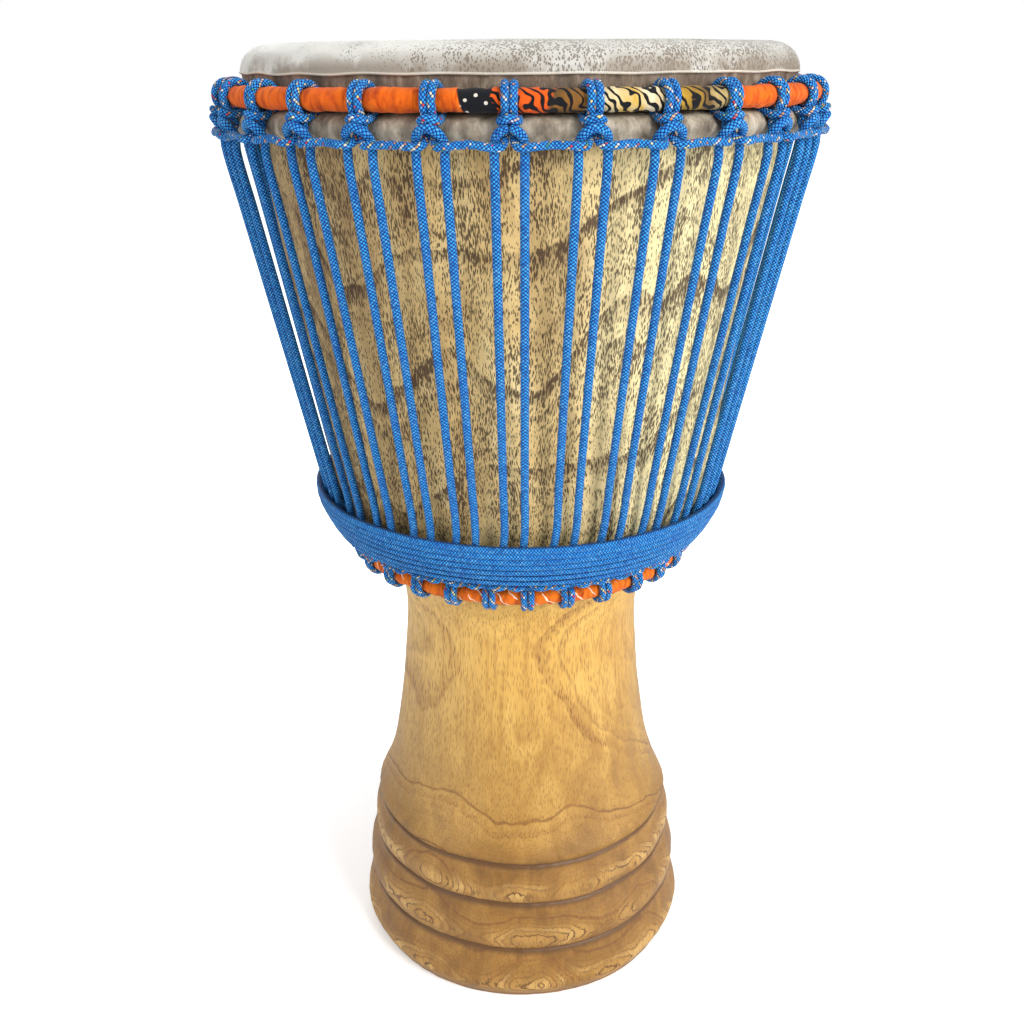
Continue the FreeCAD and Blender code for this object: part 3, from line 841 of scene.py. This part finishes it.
def uneven_hide(azimuth, r, z):
    """Radii and heights with the soft wave of the edge, the wavering crease and the collar's wrinkles."""
    angle = np.repeat(azimuth[None, :], len(r), 0)
    on_edge = np.clip((r - 120.0) / 30.0, 0, 1) * (z > CREASE_Z - 0.2)
    r = r + on_edge * 0.16 * ring_noise(angle, z, 22, 9.0, 13)
    on_face = np.clip((r - 60.0) / 80.0, 0, 1) * (z > HEIGHT - 4.0)
    z = z - on_face * 0.125 * (1 + ring_noise(angle, r, 12, 40.0, 14))
    z = z + (np.abs(z - CREASE_Z) < 3.0) * 0.28 * ring_noise(angle, 0 * z, 26, 1.0, 15)
    on_collar = (z < CREASE_Z - 1.0) & (z > CROWN_Z - 3.0) & (r < HEAD_RADIUS)
    r = r + on_collar * 0.22 * ring_noise(angle, z, 150, 22.0, 16)
    return r, z


def thickened(outer, thickness=1.15):
    """An open sheet's (radius, height) rows, followed by its inside, back from the outside."""
    step = np.gradient(outer, axis=0)
    inward = np.stack([step[..., 1], -step[..., 0]], -1)
    inward /= np.maximum(np.linalg.norm(inward, axis=-1), 1e-9)[..., None]
    inner = outer + inward * thickness
    inner[:, :, 0] = np.maximum(inner[:, :, 0], 0.3)
    return np.vstack([outer, inner[::-1]])


def skin():
    """The goatskin: the playing surface, the edge, the collar and its lap round the flesh ring."""
    azimuth = np.linspace(0, 360, 800, endpoint=False)
    flat, edge, crease, collar = skin_profile()
    upper = np.vstack([flat, edge, crease, collar])
    lap = [skin_lap(azimuth, degrees) for degrees in np.linspace(172.0, 455.0, 34)]
    upper = np.repeat(upper[:, None, :], len(azimuth), 1)
    r, z = np.moveaxis(np.vstack([upper, lap]), -1, 0)
    r, z = uneven_hide(azimuth, r, z)
    along = lengths_along(np.stack([r[:, 0], z[:, 0]], -1))
    down = along - along[len(flat) + len(edge) + 1]
    r, z = np.moveaxis(thickened(np.stack([r, z], -1)), -1, 0)
    floats = {"down": np.concatenate([down, down[::-1]])[:, None]}
    piece = tube_object("goatskin_head", on_drum(azimuth, r, z), floats, skin_finish(), flip=True)
    attach_between(piece, COLLAR_STRETCH, "goatskin", "drumhead_skin", "skin_collar")


# ---------- cloth on the rings

def cloth_wrap(name, centre, span, hitches, material, seed):
    """A stretch of cloth bound round a ring's rod, pinched under each hitch and overlapping slantwise."""
    whole = abs(span[1] - span[0] - 360.0) < 1e-6
    columns = max(24, int(round(math.radians(span[1] - span[0]) * centre[0] / 1.15)))
    azimuth = np.linspace(*span, columns, endpoint=not whole)
    angles = np.linspace(-PI, PI, 28, endpoint=False)
    off = hitch_gap(azimuth, hitches) * math.radians(1.0) * centre[0]
    pinch = 0.5 * np.exp(-(off / 4.4) ** 4)
    arc, turn = np.meshgrid(np.radians(azimuth) * centre[0], angles, indexing="ij")
    lay = (arc / 31.0 + turn / (2 * PI) + 0.1 * np.sin(arc / 17.0 + seed)) % 1.0
    overlap = 0.42 * np.where(lay < 0.93, lay ** 2, (1.0 - lay) / 0.07)
    degrees = np.degrees(arc / centre[0])
    creases = 0.2 * ring_noise(degrees, 8.0 * np.cos(turn), 150, 9.0, seed)
    creases = creases + 0.16 * ring_noise(degrees, 8.0 * np.sin(turn), 60, 12.0, seed + 1)
    size = np.maximum(WRAP - 0.15 + overlap + creases - pinch[:, None], ROD + 0.25)
    rings = on_drum(degrees, centre[0] + size * np.cos(turn), centre[1] + size * np.sin(turn))
    floats = {"arc": arc, "turn": turn * WRAP, "into": (degrees - span[0]) / (span[1] - span[0])}
    return tube_object(name, rings, floats, material, "joined" if whole else "capped", True)


def cloths():
    """The crown ring's cloth, plain and printed by turns, and the bottom ring's."""
    crown, bottom = (CROWN_RADIUS, CROWN_Z), (BOTTOM_RADIUS, BOTTOM_Z)
    ends = [first for first, _ in PRINT_STRETCHES[1:]] + [PRINT_STRETCHES[0][0] + 360.0]
    gaps = [(last, end) for (_, last), end in zip(PRINT_STRETCHES, ends)]
    plain, printed = plain_cloth_finish(), printed_cloth_finish()
    kinds = (("plain", gaps, plain, 40), ("printed", PRINT_STRETCHES, printed, 50))
    for kind, spans, material, seed in kinds:
        for number, span in enumerate(spans):
            name = f"crown_cloth_{kind}_{number + 1}"
            piece = cloth_wrap(name, crown, span, TOP_AZIMUTHS, material, seed + number)
            attach(piece, "head", f"{kind}_cloth", f"crown_cloth_{kind}")
    wrap = cloth_wrap("bottom_ring_wrap", bottom, (0.0, 360.0), BOTTOM_AZIMUTHS, bottom_cloth_finish(), 60)
    attach(wrap, "shell", "bottom_cloth", "bottom_ring_cloth")


# ---------- ropes

def mirrored(left_half):
    return left_half + [(-side, radial, height) for side, radial, height in left_half[-2::-1]]


def top_hitch(loose):
    """Left half of a hitch on the crown ring: under the arch, up, over, down inside and out as the bar."""
    hug = WRAP + CRADLE_ROPE + 0.05
    legs = [(-8.0, 179.8, 573.7 + loose), (-4.4, 178.6, 573.6 + loose), (-2.4, 175.3, 575.6)]
    legs += [(-1.95, 173.1, 579.6), (-1.95, 174.0, 584.4)]
    wraps = ((-1.9, -15.0, 0.98), (-2.0, 30.0, 0.97), (-2.05, 75.0, 0.97), (-2.2, 125.0, 0.98))
    wraps += ((-2.6, 175.0, 1.0), (-3.3, 222.0, 1.0), (-3.9, 262.0, 1.02))
    turns = [around((CROWN_RADIUS, CROWN_Z), hug * ease, degrees, side) for side, degrees, ease in wraps]
    bar = [(-4.3, 175.2, 584.8), (-2.9, 178.4, 585.2), (0.0, 179.6, 586.1)]
    return legs + turns + bar


def on_neck(side, along, out):
    """A point of the bottom knots: along the bowl from the bottom ring's rod, and out from the bowl."""
    return (side, BOTTOM_RADIUS + 0.6 * along + 0.8 * out, BOTTOM_Z + 0.8 * along - 0.6 * out)


def bottom_hitch(loose):
    """Left half of a hitch on the bottom ring: in through the bend, down behind it and up over its face."""
    hug = WRAP + CRADLE_ROPE + 0.02
    legs = [on_neck(-7.4, 17.4 + loose, 4.2), on_neck(-3.8, 18.0, 3.2), on_neck(-2.2, 17.3, -0.9)]
    legs += [on_neck(-1.95, 12.6, -4.5)]
    wraps = ((-1.95, 147.0, 1.02), (-2.0, 190.0, 1.0), (-2.0, 235.0, 0.98), (-2.0, 280.0, 0.97))
    wraps += ((-2.0, 325.0, 0.97), (-2.15, 365.0, 0.98), (-2.2, 394.0, 1.0))
    wraps += ((-1.7, 412.0, 1.0), (0.0, 419.0, 1.0))
    ring = (BOTTOM_RADIUS, BOTTOM_Z)
    return legs + [around(ring, hug * ease, degrees, side) for side, degrees, ease in wraps]


def azimuth_of(hitches, number):
    """A hitch's azimuth, counting on past a whole turn."""
    return hitches[number % HITCHES] + 360.0 * (number // HITCHES)


def cradle(name, body, azimuths, hitch, span, material, seed):
    """An endless cradle rope: a hitch at each azimuth, with a sagging span between neighbours."""
    draw = np.random.default_rng(seed)
    radius, height = span
    control = []
    for number in range(HITCHES):
        here, following = [azimuth_of(azimuths, n) for n in (number, number + 1)]
        control += list(place(here, mirrored(hitch(draw.uniform(-0.35, 0.35)))))
        control.append(place((here + following) / 2, (0.0, radius, height + draw.uniform(-0.45, 0.35))))
    piece = rope_object(name, flowing(control, True), CRADLE_ROPE, material, True, 12)
    attach(piece, body, "flecked_cord", f"{name}_rope")


def vertical(top_azimuth, belt_azimuth, foot_azimuth):
    """One vertical of the tuning rope, from below its arch to the foot of its bend under the belt."""
    top, belt_top = np.array([(top_azimuth, 174.9, 566.0), (belt_azimuth, 132.0, 360.0)])
    points = [top + (belt_top - top) * share for share in (0.0, 0.15, 0.35, 0.5, 0.65, 0.85, 1.0)]
    # (share of the turn to the foot's azimuth, radius, height)
    for share, radius, height in ((0.4, 127.9, 341.8), (0.93, 119.4, 327.3)):
        points.append((belt_azimuth + share * (foot_azimuth - belt_azimuth), radius, height))
    return [place(azimuth, (0.0, radius, height)) for azimuth, radius, height in points]


def tuning_control(number):
    """Control points from one arch's crown, down, round the bottom bend and up to the next arch."""
    here, following = [azimuth_of(TOP_AZIMUTHS, n) for n in (number, number + 1)]
    bend = azimuth_of(BOTTOM_AZIMUTHS, number)
    half_bend = 6.9
    half_turn = math.degrees(half_bend / 117.2)
    arch = [(-7.0 * math.cos(a), 175.0 + 4.9 * math.sin(a), 574.6 + 7.3 * math.sin(a))
            for a in (PI / 2, PI / 4, 0.0)]
    first = [place(here, (-side, radial, height)) for side, radial, height in arch]
    down = vertical(here + 2.3, here + 2.5, bend - half_turn)
    turn = [on_neck(-half_bend * math.cos(a), 17.4 - 5.5 * math.sin(a), 0.0) for a in np.linspace(0, PI, 5)]
    up = vertical(following - 2.3, following - 2.5, bend + half_turn)[::-1]
    last = [place(following, point) for point in arch[:0:-1]]
    return first + down + list(place(bend, turn)) + up + last


def tuning_rope(material):
    """The tuning rope, in four lengths that meet at arch crowns."""
    per_hitch = len(tuning_control(0))
    for index, (first, last) in enumerate(((0, 7), (7, 14), (14, 21), (21, HITCHES))):
        control = [point for number in range(first - 1, last + 1) for point in tuning_control(number)]
        path = flowing(control, False, 0.8, 2.4)
        start, end = [np.linalg.norm(path - control[k], axis=1).argmin() for k in (per_hitch, -per_hitch)]
        piece = rope_object(f"tuning_rope_{index + 1}", path[start:end + 1], TUNING_ROPE, material, False)
        attach_between(piece, ROPE_STRETCH, "blue_cord", "tuning_rope")


def belt(material):
    """The spare rope, wound in seven close turns round the foot of the bowl."""
    steps_per_turn = 400
    turns = np.linspace(0, BELT_TURNS, BELT_TURNS * steps_per_turn + 1)
    share = turns / BELT_TURNS
    # A curve through the belt's top, middle and bottom (radius, height), as a quadratic in the share
    stations = ((135.5, 353.6), (132.5, 340.2), (123.5, 324.7))
    weights = ((1 - share) * (1 - 2 * share), 4 * share * (1 - share), share * (2 * share - 1))
    curve = sum(np.outer(weight, station) for weight, station in zip(weights, stations))
    slope = np.gradient(curve, axis=0)
    slope /= np.linalg.norm(slope, axis=1)[:, None]
    azimuth = BELT_START + 360.0 * turns
    angle = np.radians(azimuth)
    wobble = 0.12 * np.sin(5.0 * angle + turns) + 0.08 * np.sin(11.0 * angle - 2.0 * turns)
    out_r, out_z = -slope[:, 1], slope[:, 0]
    path = on_drum(azimuth, curve[:, 0] + out_r * wobble, curve[:, 1] + out_z * wobble)
    outward = on_drum(azimuth, out_r, out_z)
    piece = rope_object("rope_belt", path, BELT_ROPE, material, False, 16, outward, (0.93, 1.04))
    attach(piece, "shell", "blue_cord", "belt_rope")


# ---------- the stage

def camera(place_m=(-0.0045, -0.7115, 0.6098), down=22.1, lean=0.3, lens=38.95):
    """Close in front and a little above the head, looking down at the drum. Angles are in degrees."""
    data = bpy.data.cameras.new("camera")
    data.lens = lens
    data.sensor_width = 36.0
    rotation = (math.radians(90.0 - down), math.radians(lean), 0.0)
    bpy.context.scene.camera = put("camera", data, place_m, rotation)


def softbox(name, place_m, size, watts, target=(0.0, 0.0, 0.34)):
    data = bpy.data.lights.new(name, "AREA")
    data.shape = "RECTANGLE"
    data.size, data.size_y = size
    data.energy = watts
    put(name, data, place_m, (Vector(target) - Vector(place_m)).to_track_quat("-Z", "Y").to_euler())


def world(lit=0.4, seen=1.0):
    """White at full strength to the camera, and softer where it lights the drum."""
    made = bpy.data.worlds.new("studio")
    made.use_nodes = True
    nodes, links = made.node_tree.nodes, made.node_tree.links
    background = nodes["Background"]
    background.inputs["Color"].default_value = (1.0, 1.0, 1.0, 1.0)
    rays = nodes.new("ShaderNodeLightPath")
    strength = nodes.new("ShaderNodeMapRange")
    strength.inputs["To Min"].default_value = lit
    strength.inputs["To Max"].default_value = seen
    links.new(rays.outputs["Is Camera Ray"], strength.inputs["Value"])
    links.new(strength.outputs[0], background.inputs["Strength"])
    bpy.context.scene.world = made


def stage():
    """The floor, the lights, the world and the camera."""
    bpy.ops.mesh.primitive_plane_add(size=30.0, location=(0, 0, -0.0002))
    floor = bpy.context.object
    floor.name = "floor"
    floor.data.materials.append(floor_finish())
    softbox("key", (1.2, -1.5, 1.35), (0.8, 0.8), 36)
    softbox("fill", (-1.5, -1.1, 0.9), (1.4, 1.6), 11)
    softbox("top", (0.0, 0.2, 2.2), (1.6, 1.6), 7)
    softbox("back", (-0.5, 1.8, 1.1), (1.5, 1.5), 12)
    softbox("side", (1.7, -0.6, 0.5), (0.8, 1.2), 7)
    world()
    camera()
    bpy.context.scene.view_settings.view_transform = "Standard"
    bpy.context.scene.view_settings.look = "None"


def steel_rings():
    """The three steel rods are the frame's own, with a new material."""
    steel = steel_finish()
    for node in ("crown_ring", "flesh_ring", "bottom_ring"):
        ring = frame["nodes"][node]
        ring.data.materials.clear()
        ring.data.materials.append(steel)


def main():
    shell()
    skin()
    cloths()
    cradle("top_cradle", "head", TOP_AZIMUTHS, top_hitch, (178.6, 574.6),
           rope_finish("flecked_cord", flecks=0.58), 71)
    cradle("bottom_cradle", "shell", BOTTOM_AZIMUTHS, bottom_hitch, (119.3, 321.4),
           rope_finish("dense_flecked_cord", flecks=0.82), 72)
    tuning_rope(rope_finish("blue_cord"))
    belt(rope_finish("wound_blue_cord", shade_grooves=True))
    steel_rings()
    stage()


main()
